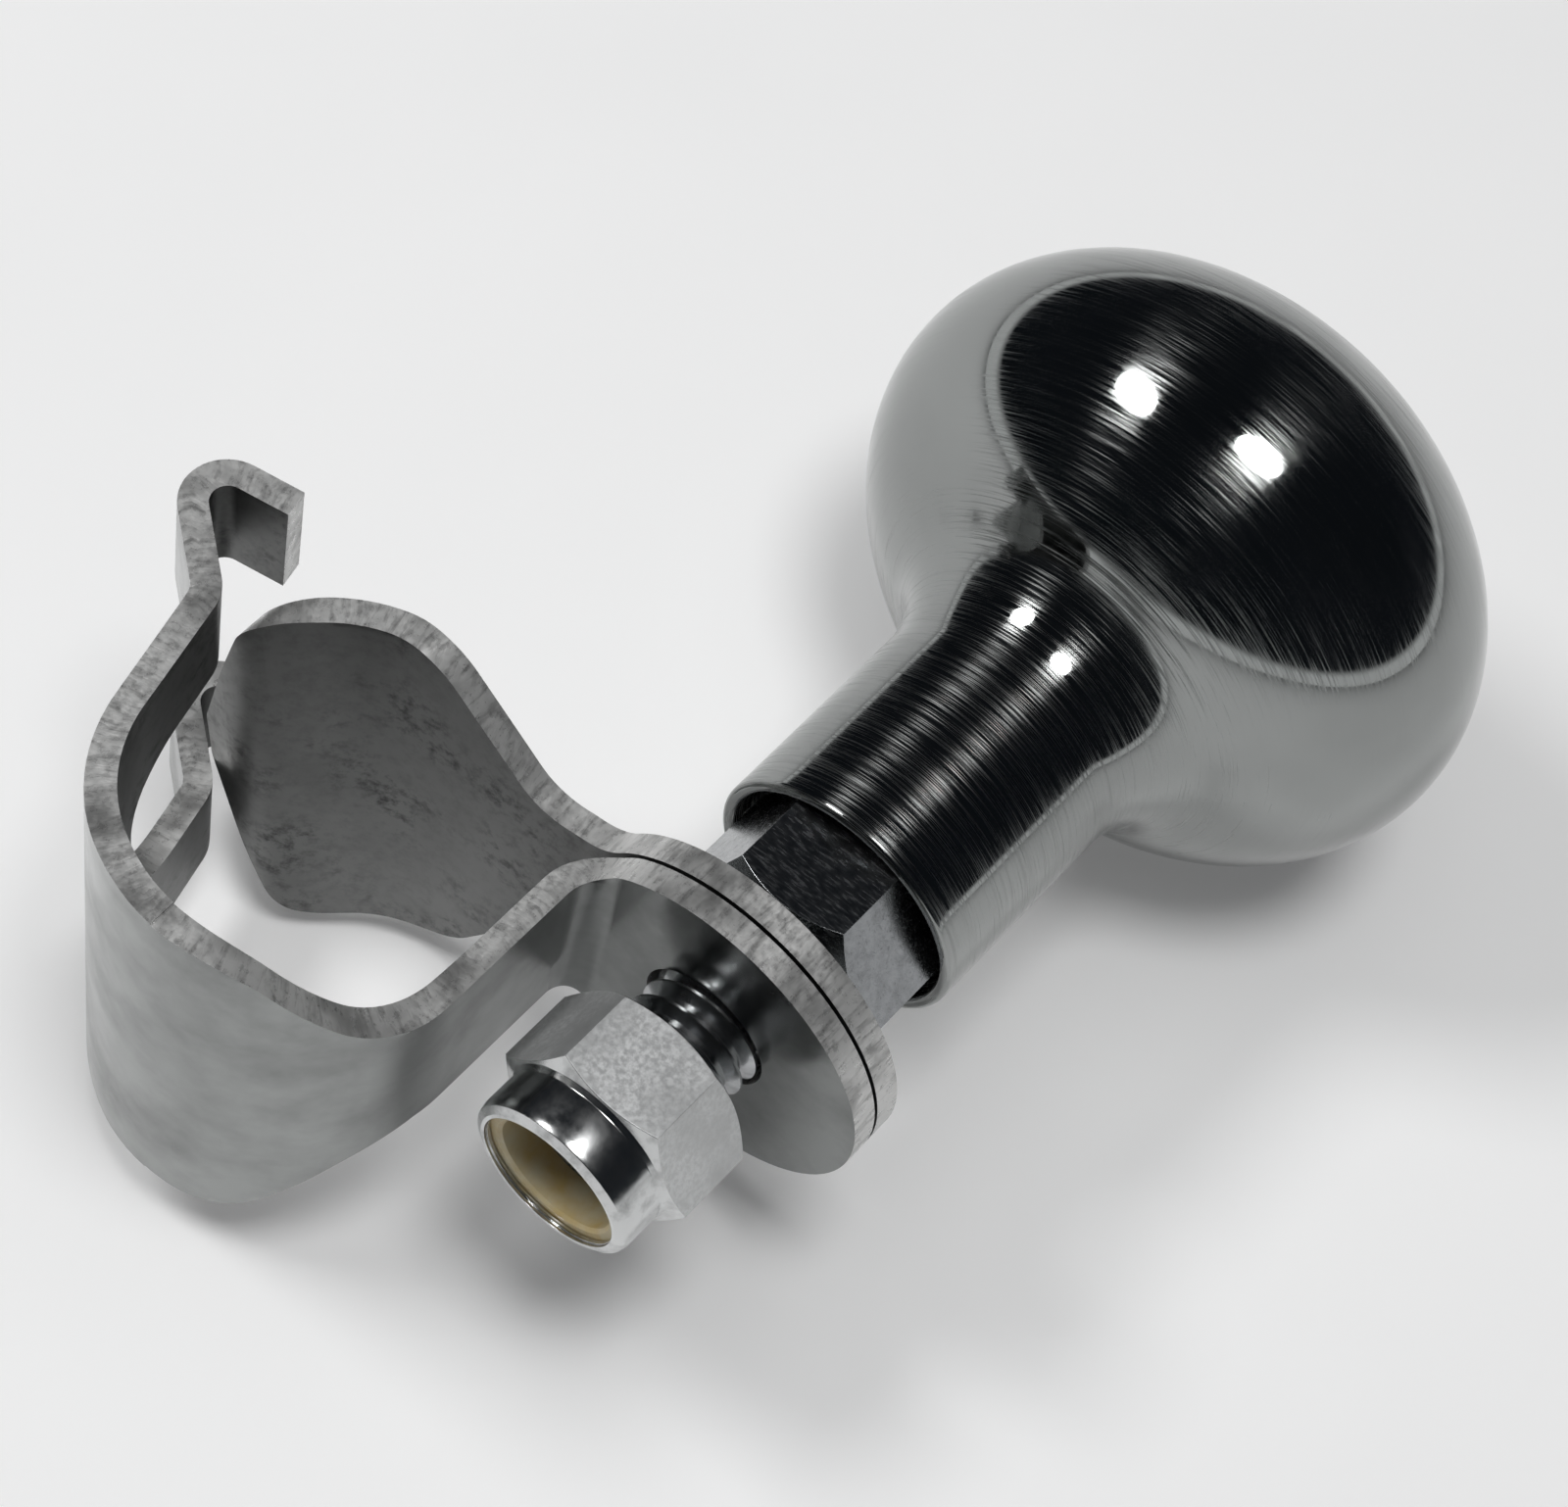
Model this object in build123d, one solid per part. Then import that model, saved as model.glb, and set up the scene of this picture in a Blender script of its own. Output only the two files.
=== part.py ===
"""Steering wheel knob with a hooked two-strap rim clamp.

Row frame, millimetres: the origin is on the axis of the wheel rim that the clamp grips,
+Z runs along the rim (across the straps), +X points from the lock nut to the knob, and the
bolt axis lies along X at y = BOLT_Y.
"""
import os
from math import cos, radians, sin, sqrt, tan

from build123d import *

# ---------------------------------------------------------------- driving dimensions
# rim clamp
RIM_R = 12.0                 # inner radius of the strap's arc, for a 24 mm rim
SHEET = 2.1                  # strap thickness
BOLT_Y = -25.5               # bolt axis, measured from the rim axis
EAR_R = 13.4                 # round ears on the bolt
EAR_HOLE_R = 5.2             # clearance hole for the 3/8 in stud
WAIST = 7.3                  # half width where an ear leaves for the loop
LOBE = 19.4                  # half width of the front strap at its widest place
HOOK_HALF = 18.2             # half width of the hooked end
FORK_GAP = 9.0               # half width of the slot between the two hook legs
FORK_X = -4.5                # closed end of that slot
FORK_CORNER_R = 6.0
WAIST_BLEND_R = 5.0          # where an ear meets the waist

FRONT_EAR_X = 13.6           # nut side face of the front strap's ear
EAR_GAP = 0.3                # space between the two ears
REAR_TILT = -7.8             # the loose rear strap has swung this far round the bolt

# front strap: bends given by their centre-line radius
FRONT_BEND_R = 3.55
NECK_HEADING = 14.0          # the arc ends when the strap points this far from +X
NECK_RUN = 8.85
NECK_TURN = 39.0
NECK_R = 2.55
LIMB_RUN = 5.7
HOOK_TURN = 130.0
HOOK_R = 2.35
TIP_RUN = 3.85

# rear strap
REAR_EAR_RUN = 13.0
REAR_LEAN = 5.5
REAR_FLAT_RUN = 12.5
REAR_SHOULDER_TURN = 37.0
REAR_SHOULDER_R = 12.0
REAR_SLOPE_RUN = 3.9
LIP_TURN = 52.5
LIP_R = 4.0
LIP_RUN = 5.0
REAR_LOBE = 18.6             # half width of the rear strap at its widest place
REAR_END_Y = 16.6            # tip of its tapered end

# spindle: 3/8 in 16 stud, hex from 5/8 in stock, plain journal
STUD_R = 4.7625
PITCH = 1.5875
THREAD_DEPTH = 0.92
STUD_END_X = 3.2
THREAD_END_X = 19.4
HEX_AF = 15.6
HEX_X = 20.8
HEX_LENGTH = 10.0
HEX_CHAMFER_R = 7.75
JOURNAL_END_X = 54.6
RUN_CLEARANCE = 0.05         # radial clearance of the running fits

# knob
BALL_R = 25.4
BALL_X = 67.0                # plane of the largest diameter
BALL_BELOW = 18.0            # half height towards the neck
BALL_ABOVE = 17.7            # half height towards the crown
NECK_R_OUT = 10.35
NECK_WALL = 1.0
NECK_RIM_X = 27.5
BALL_WALL = 1.3
NECK_FILLET = 8.0

# bearing cartridge in the neck
THRUST_T = 1.0
AXIAL_PLAY = 0.15
HOUSING_X = 32.6
HOUSING_LENGTH = 19.0
HOUSING_BORE_R = 6.6
BUSH_LENGTH = 7.0
FLANGE_R = 8.6
FLANGE_T = 1.2
CLIP_T = 1.1
CLIP_DEPTH = 0.55

# lock nut
NUT_X = -2.4                 # open end of the collar
NUT_HEIGHT = 11.5
NUT_AF = 14.29
COLLAR_LENGTH = 4.1
COLLAR_R = 6.75
COLLAR_WALL = 0.75
COLLAR_LIP_R = 5.65
NYLON_T = 3.1

os.makedirs("parts", exist_ok=True)


# ---------------------------------------------------------------- helpers
def save(shape, node):
    """Write one node as a STEP file in the row frame."""
    solids = shape.solids()
    if len(solids) != 1:
        raise ValueError(f"{node} came out as {len(solids)} solids")
    export_step(solids[0], f"parts/{node}.step")


def along_x(shape):
    """Turn a shape made about +Z at the origin so that it runs along +X on the bolt axis."""
    return Pos(0, BOLT_Y, 0) * (Rot(0, 90, 0) * shape)


def turned(points):
    """Solid of revolution about X from (x, radius) corners, set on the bolt axis."""
    outline = make_face(Polyline(*[(x, r) for x, r in points], close=True))
    return Pos(0, BOLT_Y, 0) * revolve(outline, axis=Axis.X)


def tube(x0, x1, r_in, r_out):
    return turned([(x0, r_in), (x1, r_in), (x1, r_out), (x0, r_out)])


def hex_prism(across_flats, x0, x1, first_corner):
    """Hexagonal bar along the bolt axis; first_corner is an angle from +Y towards +Z."""
    corner_r = across_flats / sqrt(3)
    corners = []
    for k in range(6):
        a = radians(first_corner + 60 * k)
        corners.append((corner_r * cos(a), corner_r * sin(a)))
    face = Plane.YZ * make_face(Polyline(*corners, close=True))
    return Pos(x0, BOLT_Y, 0) * extrude(face, x1 - x0)


def sheet_section(start, heading, moves, thickness):
    """Closed section of a bent sheet.

    moves holds ("go", length) and ("turn", centre-line radius, degrees); a positive turn
    is to the left.
    """
    half = thickness / 2
    x, y = start
    a = radians(heading)
    left, right = [], []

    def side(px, py, angle, offset):
        return (px - offset * sin(angle), py + offset * cos(angle))

    first = (side(x, y, a, half), side(x, y, a, -half))
    for move in moves:
        if move[0] == "go":
            nx, ny = x + move[1] * cos(a), y + move[1] * sin(a)
            left.append(Line(side(x, y, a, half), side(nx, ny, a, half)))
            right.append(Line(side(x, y, a, -half), side(nx, ny, a, -half)))
            x, y = nx, ny
            continue
        radius, turn = move[1], radians(move[2])
        s = 1 if turn > 0 else -1
        cx, cy = side(x, y, a, s * radius)
        am, an = a + turn / 2, a + turn
        for edges, offset in ((left, half), (right, -half)):
            reach = s * (offset - s * radius)
            stops = []
            for angle in (a, am, an):
                stops.append((cx - s * reach * sin(angle), cy + s * reach * cos(angle)))
            edges.append(ThreePointArc(*stops))
        x, y = side(cx, cy, an, -s * radius)
        a = an
    last = (side(x, y, a, half), side(x, y, a, -half))
    ends = [Line(first[0], first[1]), Line(last[0], last[1])]
    return make_face(left + right + ends)


def symmetric_outline(upper, radii):
    """Face symmetric about the first axis; upper is its upper half, from left to right."""
    lower = [(u, -v) for u, v in reversed(upper)]
    face = make_face(Polyline(*upper, *lower, close=True))
    for (u, v), radius in zip(upper, radii):
        if radius:
            corners = [p for p in face.vertices()
                       if abs(p.X - u) < 0.01 and abs(abs(p.Y) - v) < 0.01]
            face = fillet(corners, radius)
    return face


def on_yz(face):
    """Lay a face drawn as (y, z) on the plane x = 0."""
    return Plane.YZ * face


def ear_outline():
    """Round ear running into the waist, drawn as (y, z)."""
    disc = Pos(BOLT_Y, 0) * Circle(EAR_R)
    waist = Pos(BOLT_Y, 0) * Rectangle(16.5, 2 * WAIST, align=(Align.MIN, Align.CENTER))
    face = disc + waist
    corners = [v for v in face.vertices() if abs(abs(v.Y) - WAIST) < 0.01 and v.X < -12]
    return fillet(corners, WAIST_BLEND_R)


def ear_hole(x0):
    hole = Cylinder(EAR_HOLE_R, SHEET + 4, align=(Align.CENTER, Align.CENTER, Align.MIN))
    return Pos(x0 - 2, 0, 0) * along_x(hole)


# ---------------------------------------------------------------- front strap
def front_strap():
    mid = RIM_R + SHEET / 2
    ear_mid_x = FRONT_EAR_X + SHEET / 2
    wall_run = ear_mid_x - FRONT_BEND_R
    moves = [
        ("go", EAR_R - mid - FRONT_BEND_R - BOLT_Y),
        ("turn", FRONT_BEND_R, 90),
        ("go", wall_run),
        ("turn", mid, -(180 - NECK_HEADING)),
        ("go", NECK_RUN),
        ("turn", NECK_R, NECK_TURN),
        ("go", LIMB_RUN),
        ("turn", HOOK_R, -HOOK_TURN),
        ("go", TIP_RUN),
    ]
    section = sheet_section((ear_mid_x, BOLT_Y - EAR_R), 90, moves, SHEET)
    strip = extrude(section, 22, both=True)

    # ear, then the flare from the waist to the lobe, trimmed square to the sheet at 45 degrees
    keep_ear = Pos(-40, 0, 0) * extrude(on_yz(ear_outline()), 80)
    flare = symmetric_outline(
        [(-40, WAIST), (-5.9, WAIST), (4.9, LOBE), (40, LOBE)], [0, 13, 8, 0])
    flare_plane = Plane(origin=(0, 0, 0), x_dir=(-1, 1, 0), z_dir=(-1, -1, 0))
    loop_side = Pos(0, BOLT_Y + 6, 0) * Box(120, 80, 60, align=(Align.CENTER, Align.MIN, Align.CENTER))
    keep_flare = flare_plane * extrude(flare, 60) & loop_side
    far_side = Pos(0, 40, 0) * Box(120, 80, 60)
    strip = strip & (keep_ear + keep_flare + far_side)

    # crown of the lobes and the slightly narrower hooked end
    side = symmetric_outline(
        [(-60, 22), (-9, 22), (-4, LOBE), (5, LOBE + 0.4), (14, HOOK_HALF), (40, HOOK_HALF)],
        [0, 0, 0, 12, 20, 0])
    strip = strip & (Pos(-40, 0, 0) * extrude(on_yz(side), 80))

    # slot that leaves two hook legs
    slot = Box(60, 40, 2 * FORK_GAP, align=(Align.MIN, Align.MIN, Align.CENTER))
    slot = fillet(slot.edges().filter_by(Axis.Y).group_by(Axis.X)[0], FORK_CORNER_R)
    strip = strip - Pos(FORK_X, 0, 0) * slot

    return strip - ear_hole(FRONT_EAR_X)


# ---------------------------------------------------------------- rear strap
def rear_strap():
    ear_x = FRONT_EAR_X + SHEET + EAR_GAP
    moves = [
        ("go", EAR_R + REAR_EAR_RUN),
        ("turn", REAR_SHOULDER_R, REAR_LEAN),
        ("go", REAR_FLAT_RUN),
        ("turn", REAR_SHOULDER_R, REAR_SHOULDER_TURN),
        ("go", REAR_SLOPE_RUN),
        ("turn", LIP_R, -LIP_TURN),
        ("go", LIP_RUN),
    ]
    section = sheet_section((ear_x + SHEET / 2, BOLT_Y - EAR_R), 90, moves, SHEET)
    strip = extrude(section, 22, both=True)
    outline = symmetric_outline(
        [(BOLT_Y, WAIST), (-8.6, WAIST), (0.3, REAR_LOBE), (11.4, REAR_LOBE),
         (REAR_END_Y, 2.5)],
        [0, 5, 7, 4, 2])
    outline = outline + ear_outline()
    strip = strip & (Pos(-40, 0, 0) * extrude(on_yz(outline), 80))
    strap = strip - ear_hole(ear_x)
    bolt = Axis((0, BOLT_Y, 0), (1, 0, 0))
    return strap.rotate(bolt, REAR_TILT)


# ---------------------------------------------------------------- spindle
def spindle():
    journal_r = STUD_R
    groove_x = JOURNAL_END_X - 1.0 - CLIP_T
    outline = [(STUD_END_X, 0), (STUD_END_X, STUD_R - THREAD_DEPTH)]
    crest, root = PITCH / 8, PITCH / 4
    flank = (PITCH - crest - root) / 2
    x = STUD_END_X + THREAD_DEPTH
    outline.append((x, STUD_R))
    while x + PITCH < THREAD_END_X:
        outline.append((x + crest, STUD_R))
        outline.append((x + crest + flank, STUD_R - THREAD_DEPTH))
        outline.append((x + crest + flank + root, STUD_R - THREAD_DEPTH))
        outline.append((x + PITCH, STUD_R))
        x += PITCH
    outline += [
        (HEX_X, STUD_R), (HEX_X, 7.0), (HEX_X + HEX_LENGTH, 7.0),
        (HEX_X + HEX_LENGTH, journal_r),
        (groove_x, journal_r), (groove_x, journal_r - CLIP_DEPTH),
        (groove_x + CLIP_T, journal_r - CLIP_DEPTH), (groove_x + CLIP_T, journal_r),
        (JOURNAL_END_X - 0.5, journal_r), (JOURNAL_END_X, journal_r - 0.5),
        (JOURNAL_END_X, 0),
    ]
    shaft = turned(outline)
    hexagon = hex_prism(HEX_AF, HEX_X, HEX_X + HEX_LENGTH, 116)
    rise = HEX_AF / sqrt(3) + 0.2 - HEX_CHAMFER_R
    envelope = turned([
        (HEX_X, 0), (HEX_X, HEX_CHAMFER_R), (HEX_X + 0.87 * rise, HEX_CHAMFER_R + rise),
        (HEX_X + HEX_LENGTH - 0.58 * rise, HEX_CHAMFER_R + rise),
        (HEX_X + HEX_LENGTH, HEX_CHAMFER_R), (HEX_X + HEX_LENGTH, 0)])
    return shaft + (hexagon & envelope)


# ---------------------------------------------------------------- knob
def knob_outline(inset):
    """Half section of the knob as (x, radius) edges; inset moves it inwards."""
    neck_r = NECK_R_OUT - (NECK_WALL if inset else 0)
    a = BALL_R - (BALL_WALL if inset else 0)
    below = BALL_BELOW - (BALL_WALL if inset else 0)
    above = BALL_ABOVE - (BALL_WALL if inset else 0)
    start = NECK_RIM_X - (5 if inset else 0)
    quarter = Rectangle(40, 40, align=(Align.MAX, Align.MIN))
    lower = Pos(BALL_X, 0) * (Ellipse(below, a) & quarter)
    upper = Pos(BALL_X, 0) * (Ellipse(above, a) & mirror(quarter, about=Plane.YZ))
    half = lower + upper
    stem = Pos((start + BALL_X) / 2, neck_r / 2) * Rectangle(BALL_X - start, neck_r)
    face = half + stem
    corner = [v for v in face.vertices() if abs(v.Y - neck_r) < 0.01 and v.X > start + 5]
    return fillet(corner, NECK_FILLET + (NECK_WALL if inset else 0))


def knob_shell():
    outer = revolve(knob_outline(False), axis=Axis.X)
    inner = revolve(knob_outline(True), axis=Axis.X)
    shell = outer - inner
    rim = [e for e in shell.edges().filter_by(GeomType.CIRCLE)
           if abs(e.center().X - NECK_RIM_X) < 0.01]
    shell = fillet(rim, 0.4)
    return Pos(0, BOLT_Y, 0) * shell


def bearing_housing():
    """Sleeve pressed into the neck; it carries the two bushes."""
    r_out = NECK_R_OUT - NECK_WALL
    x0, x1 = HOUSING_X, HOUSING_X + HOUSING_LENGTH
    seat = FLANGE_R + 0.1
    return turned([
        (x0, seat), (x0 + FLANGE_T, seat), (x0 + FLANGE_T, HOUSING_BORE_R),
        (x1 - FLANGE_T, HOUSING_BORE_R), (x1 - FLANGE_T, seat), (x1, seat),
        (x1, r_out - 0.4), (x1 - 0.4, r_out), (x0 + 0.4, r_out), (x0, r_out - 0.4)])


def bush(x_flange, direction):
    """Flanged plain bearing; direction +1 when the barrel runs towards the knob."""
    r_in = STUD_R + RUN_CLEARANCE
    x1 = x_flange + direction * FLANGE_T
    x2 = x_flange + direction * (FLANGE_T + BUSH_LENGTH)
    return turned([
        (x_flange, r_in), (x_flange, FLANGE_R), (x1, FLANGE_R), (x1, HOUSING_BORE_R),
        (x2, HOUSING_BORE_R), (x2, r_in)])


def circlip(x0):
    """Open retaining ring in the groove at the inner end of the journal."""
    r_in = STUD_R - CLIP_DEPTH + 0.05
    ring = tube(x0 + 0.05, x0 + CLIP_T - 0.05, r_in, r_in + 1.9)
    lugs = Pos(x0 + CLIP_T / 2, BOLT_Y + r_in + 1.9, 0) * Box(CLIP_T - 0.1, 3.2, 5.6)
    ring = ring + lugs - tube(x0 - 1, x0 + CLIP_T + 1, 0.1, r_in)
    gap = Pos(x0 + CLIP_T / 2, BOLT_Y + 7, 0) * Box(4, 10, 2.0)
    ring = ring - gap
    for s in (-1, 1):
        eye = Cylinder(0.6, 6, rotation=(0, 90, 0))
        ring = ring - Pos(x0, BOLT_Y + r_in + 2.3, s * 1.9) * eye
    return ring


# ---------------------------------------------------------------- lock nut
def nut_body():
    far = NUT_X + NUT_HEIGHT
    hex_x = NUT_X + COLLAR_LENGTH
    bore_r = STUD_R + RUN_CLEARANCE
    hexagon = hex_prism(NUT_AF, hex_x - 0.4, far, 123.4)
    corner_r = NUT_AF / sqrt(3) + 0.1
    flat_r = NUT_AF / 2 - 0.15
    rise = (corner_r - flat_r) * tan(radians(30))
    envelope = turned([
        (hex_x - 0.4, 0), (hex_x - 0.4, COLLAR_R), (hex_x, flat_r),
        (hex_x + rise, corner_r), (far - rise, corner_r), (far, flat_r), (far, 0)])
    collar = turned([
        (NUT_X + 0.9, 0), (NUT_X + 0.25, COLLAR_R - 1.0), (NUT_X, COLLAR_R - 1.05),
        (NUT_X, COLLAR_R - 0.75), (NUT_X + 0.35, COLLAR_R - 0.15),
        (NUT_X + 0.9, COLLAR_R), (hex_x, COLLAR_R), (hex_x, 0)])
    body = collar + (hexagon & envelope)
    pocket_r = COLLAR_R - COLLAR_WALL
    pocket = turned([
        (NUT_X - 1, 0), (NUT_X - 1, COLLAR_LIP_R), (NUT_X + 0.6, COLLAR_LIP_R),
        (NUT_X + 0.6, pocket_r), (NUT_X + 0.6 + NYLON_T + 0.1, pocket_r),
        (NUT_X + 0.6 + NYLON_T + 0.1, 0)])
    countersink = turned([
        (far - 0.6, 0), (far - 0.6, bore_r), (far, bore_r + 0.6), (far + 1, bore_r + 0.6),
        (far + 1, 0)])
    bore = tube(NUT_X - 1, far + 1, 0.0, bore_r)
    return body - pocket - bore - countersink


def nylon_ring():
    x0 = NUT_X + 0.65
    r_in = STUD_R + 0.08
    r_out = COLLAR_R - COLLAR_WALL - 0.02
    return turned([
        (x0, r_in + 0.25), (x0 + 0.25, r_in), (x0 + NYLON_T, r_in),
        (x0 + NYLON_T, r_out), (x0, r_out)])


# ---------------------------------------------------------------- build
def main():
    hex_end = HEX_X + HEX_LENGTH
    thrust_x = hex_end + AXIAL_PLAY / 2
    washer_x = HOUSING_X + HOUSING_LENGTH + AXIAL_PLAY
    clip_x = JOURNAL_END_X - 1.0 - CLIP_T
    save(front_strap(), "front_strap")
    save(rear_strap(), "rear_strap")
    save(spindle(), "spindle")
    save(tube(thrust_x, thrust_x + THRUST_T, STUD_R + 0.2, FLANGE_R), "thrust_washer")
    save(knob_shell(), "knob_shell")
    save(bearing_housing(), "bearing_housing")
    save(bush(HOUSING_X, 1), "outer_bush")
    save(bush(HOUSING_X + HOUSING_LENGTH, -1), "inner_bush")
    save(tube(washer_x, clip_x - 0.05, STUD_R + 0.2, FLANGE_R - 0.4), "retaining_washer")
    save(circlip(clip_x), "circlip")
    save(nut_body(), "nut_body")
    save(nylon_ring(), "nylon_ring")


main()
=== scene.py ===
"""Looks of the steering wheel knob: its pieces, their finishes, a pale stage and the camera."""
from math import atan2, cos, pi, radians, sin, tau

import bmesh
import bpy
from bpy.props import FloatProperty, FloatVectorProperty, IntProperty, PointerProperty
from mathutils import Matrix, Vector


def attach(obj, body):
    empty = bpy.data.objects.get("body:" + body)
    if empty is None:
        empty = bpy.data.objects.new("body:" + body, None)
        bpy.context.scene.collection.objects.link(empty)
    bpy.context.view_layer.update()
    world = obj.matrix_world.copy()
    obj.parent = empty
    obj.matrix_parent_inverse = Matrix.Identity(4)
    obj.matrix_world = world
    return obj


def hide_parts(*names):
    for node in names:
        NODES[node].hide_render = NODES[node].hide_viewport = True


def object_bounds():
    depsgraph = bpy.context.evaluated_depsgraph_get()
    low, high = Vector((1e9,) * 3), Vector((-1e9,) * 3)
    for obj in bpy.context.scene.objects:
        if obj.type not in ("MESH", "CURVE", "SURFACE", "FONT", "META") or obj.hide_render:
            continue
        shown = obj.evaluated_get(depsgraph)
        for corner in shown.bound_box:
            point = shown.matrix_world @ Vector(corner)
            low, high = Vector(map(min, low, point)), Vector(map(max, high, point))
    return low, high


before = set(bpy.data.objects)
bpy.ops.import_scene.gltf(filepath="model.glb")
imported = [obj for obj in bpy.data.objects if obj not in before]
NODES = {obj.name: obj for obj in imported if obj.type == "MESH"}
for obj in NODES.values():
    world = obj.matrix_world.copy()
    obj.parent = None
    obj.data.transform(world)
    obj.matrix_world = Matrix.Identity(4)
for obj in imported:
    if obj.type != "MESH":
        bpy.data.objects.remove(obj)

bl_info = {
    "name": "Steering Wheel Knob",
    "version": (1, 0, 0),
    "blender": (4, 5, 0),
    "location": "3D View > Sidebar > Wheel Knob",
    "description": "Builds a polished steering wheel knob with its hooked rim clamp",
    "category": "Object",
}

CAD_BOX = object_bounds()
MM = 0.001

# The bolt, stud, spindle and knob share one axis along X.
BOLT_Y = -25.5 * MM

# Middle line of each strap's sheet, as (length, turn in degrees, left positive), from the bolt.
FRONT_START = (14.65 * MM, BOLT_Y)
FRONT_MOVES = [
    (8.9 * MM, 0), (5.576 * MM, 90), (11.1 * MM, 0), (37.81 * MM, -166), (8.85 * MM, 0),
    (1.736 * MM, 39), (5.7 * MM, 0), (5.332 * MM, -130), (3.85 * MM, 0)]
REAR_START = (17.05 * MM, BOLT_Y)
REAR_MOVES = [
    (13.0 * MM, 0), (1.152 * MM, 5.5), (12.5 * MM, 0), (7.749 * MM, 37), (3.9 * MM, 0),
    (3.665 * MM, -52.5), (5.0 * MM, 0)]
REAR_TILT = radians(-7.8)
EAR_R = 13.4 * MM
EAR_TOP = 10.5 * MM  # above the bolt, where the ear's round outline ends
EAR_DEPTH = 1.5 * MM  # reach of the ear to each side of its middle
SAMPLE_STEP = 0.3 * MM

# The straps' long faces are cut into strips. Without them the bevel marks the broad faces, and
# with them its overlap limit holds it far under the width asked for.
STRIP = 2 * MM
STRIPS_EACH_WAY = 12

# Order of the straps' finishes, and how far a broad face may lean off the sheet's direction.
OUTSIDE, INSIDE, CUT = 0, 1, 2
BROAD = 0.9
CUT_CORNER = radians(40)

CAD_MERGE = 1e-6
SPIN_MERGE = 2e-6
CAD_FLAT = radians(0.4)
BEVEL_ANGLE = 25

# The knob's hidden inside: where its bore ends, and the thickness of the ball's wall.
BORE_LENGTH = 24 * MM
BALL_WALL = 1.3 * MM
FILLET_STEPS = 24
BALL_STEPS = 96
NECK_STEPS = 14
LIP_STEPS = 8
INNER_BALL_START = 30

THREAD_STEPS = 48
THREAD_CREASE = 35

# The lock nut's flats: away from the bolt by more than this, and larger than this in area.
NUT_FLAT_REACH = 6.9 * MM
NUT_FLAT_AREA = 2e-5
NUT_FLAT_LEAN = 0.02

# The stage: the middle of the object, the floor and the camera.
STAGE_MIDDLE = Vector((0.06, -0.025, 0.02))
TABLE_MIDDLE = (0.03, -0.02)
TABLE_HALF = 1.2
FLOOR_GAP = 0.2 * MM
BOX_DISTANCE = 0.9
FAR_BOX = Vector((-0.27, 0.57, 0.78))
NEAR_BOX = Vector((-0.11, -0.14, 0.98))
CAMERA_PLACE = (-0.09248, -0.07544, 0.24213)
CAMERA_RIGHT = Vector((0.6429, -0.7512, 0.1494))
CAMERA_BACK = Vector((-0.4517, -0.2143, 0.8660))


# ---------------------------------------------------------------- meshes
def to_object(bm, name, materials):
    """Turn a bmesh into a finished object at the origin."""
    mesh = bpy.data.meshes.new(name)
    bm.to_mesh(mesh)
    bm.free()
    if "custom_normal" in mesh.attributes:
        mesh.attributes.remove(mesh.attributes["custom_normal"])
    mesh.polygons.foreach_set("use_smooth", [True] * len(mesh.polygons))
    for material in materials:
        mesh.materials.append(material)
    piece = bpy.data.objects.new(name, mesh)
    bpy.context.scene.collection.objects.link(piece)
    return piece


def merged_copy(node):
    """A joined copy of a CAD node's loose triangles, with its flat faces whole again."""
    bm = bmesh.new()
    bm.from_mesh(NODES[node].data)
    bmesh.ops.remove_doubles(bm, verts=bm.verts, dist=CAD_MERGE)
    bmesh.ops.dissolve_limit(
        bm, angle_limit=CAD_FLAT, use_dissolve_boundaries=False, verts=bm.verts,
        edges=bm.edges)
    return bm


def round_edges(piece, width, segments, angle=None):
    """Round edges sharper than the angle in degrees or, without one, by their bevel weight."""
    bevel = piece.modifiers.new("Edge round", "BEVEL")
    bevel.width = width
    bevel.segments = segments
    bevel.limit_method = "WEIGHT" if angle is None else "ANGLE"
    if angle is not None:
        bevel.angle_limit = radians(angle)
    bevel.harden_normals = angle is not None
    bevel.face_strength_mode = "FSTR_NONE" if angle is not None else "FSTR_ALL"


def revolve(bm, outline, steps):
    """Spin an (x, radius) outline about the bolt axis and close its poles."""
    verts = [bm.verts.new((x, BOLT_Y + r, 0)) for x, r in outline]
    edges = [bm.edges.new(pair) for pair in zip(verts, verts[1:])]
    bmesh.ops.spin(
        bm, geom=verts + edges, cent=(0, BOLT_Y, 0), axis=(1, 0, 0), angle=tau, steps=steps,
        use_merge=True)
    bmesh.ops.remove_doubles(bm, verts=bm.verts, dist=SPIN_MERGE)


def set_ride(piece, body, slot, *nodes):
    """Fix a piece to its body and hide the CAD nodes it stands for."""
    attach(piece, body)
    if nodes:
        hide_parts(*nodes)


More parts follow.
